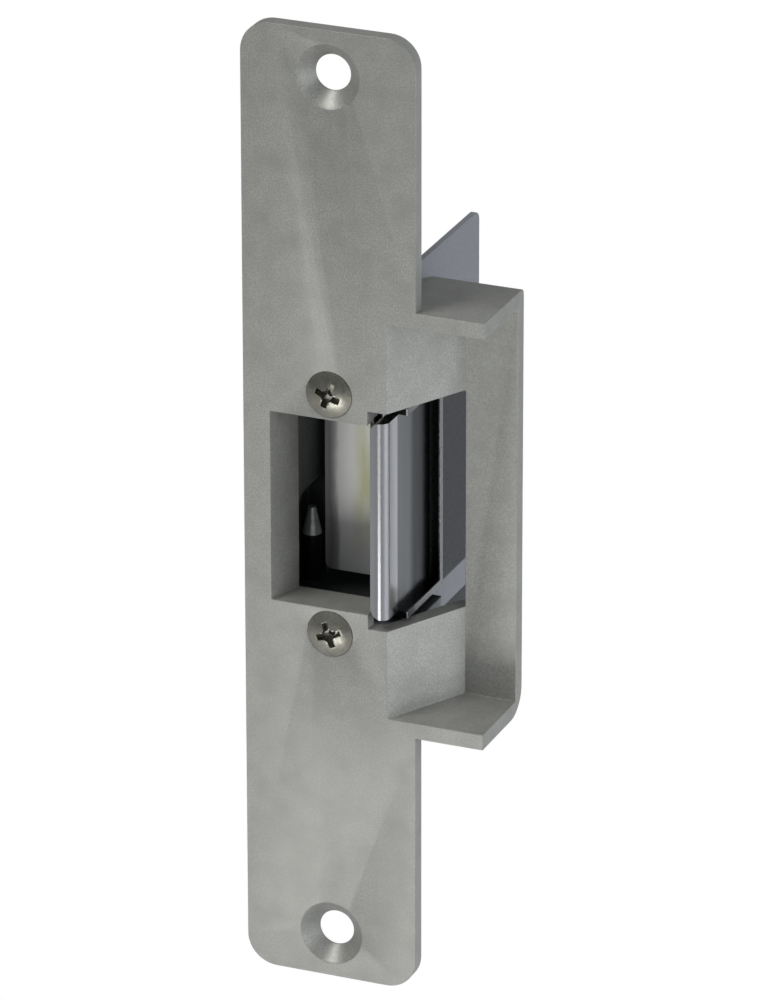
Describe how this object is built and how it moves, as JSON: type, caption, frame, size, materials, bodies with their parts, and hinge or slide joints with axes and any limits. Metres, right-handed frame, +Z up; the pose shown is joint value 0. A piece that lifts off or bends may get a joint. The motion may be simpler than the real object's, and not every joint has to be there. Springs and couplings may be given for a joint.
{
  "type": "electric door strike",
  "caption": "Electric door strike: long faceplate with an extended lip, spring-returned swinging keeper, and a magnet that moves a locking lever behind the latch pocket.",
  "frame": {"origin": "middle of the faceplate's mounting face, halfway between the two fixing holes", "axes": "+X towards the extended lip, +Y into the door frame (away from the visible front), +Z up along the faceplate"},
  "size_m": [0.0404, 0.0406, 0.16],
  "materials": {
    "satin_silver_paint": "fine metallic satin paint",
    "cast_grey": "satin grey die casting",
    "zinc_plate": "satin zinc plating",
    "dark_nickel": "dark nickel, satin",
    "chrome": "polished",
    "bright_steel": "bright steel",
    "spring_steel": "spring steel",
    "dark_steel": "blackened steel with a bright tip",
    "soft_iron": "zinc-plated soft iron",
    "bobbin_plastic": "matte",
    "enamelled_wire": "enamelled copper wire",
    "wire_insulation": "insulated wire",
    "terminal_plastic": "matte",
    "terminal_brass": "bright"
  },
  "bodies": {
    "frame": {"faceplate": "satin_silver_paint", "strike_body": "cast_grey", "rear_cover": "zinc_plate", "body_screws": "dark_nickel", "cover_screws": "zinc_plate", "keeper_pivot_pin": "bright_steel", "pivot_clips": "spring_steel", "lever_pivot_pin": "bright_steel", "lever_clip": "spring_steel", "lever_stop_pin": "dark_steel", "magnet_yoke": "soft_iron", "yoke_screws": "zinc_plate", "magnet_core": "soft_iron", "coil_bobbin": "bobbin_plastic", "coil_winding": "enamelled_wire", "coil_leads": "wire_insulation", "terminal_block": "terminal_plastic", "terminal_screws": "zinc_plate", "terminal_clamps": "terminal_brass", "terminal_block_screw": "zinc_plate"},
    "keeper": {"keeper_jaw": "chrome", "keeper_bracket": "bright_steel", "keeper_rivets": "bright_steel", "keeper_spring": "spring_steel"},
    "lever": {"locking_lever": "zinc_plate", "armature": "soft_iron", "armature_rivets": "bright_steel", "lever_spring": "spring_steel"}
  },
  "joints": [
    {"name": "keeper_swing", "type": "hinge", "parent": "frame", "child": "keeper", "pos_m": [0.0079, 0.0094, 0], "axis": [0, 0, 1], "range_deg": [0, 80], "stiffness_Nm_per_rad": 0.004, "springref_deg": -28.65},
    {"name": "lever_swing", "type": "hinge", "parent": "frame", "child": "lever", "pos_m": [0.0005, 0.01515, 0.026], "axis": [0, -1, 0], "range_deg": [0, 7.4], "stiffness_Nm_per_rad": 0.01, "springref_deg": -17.19}
  ]
}
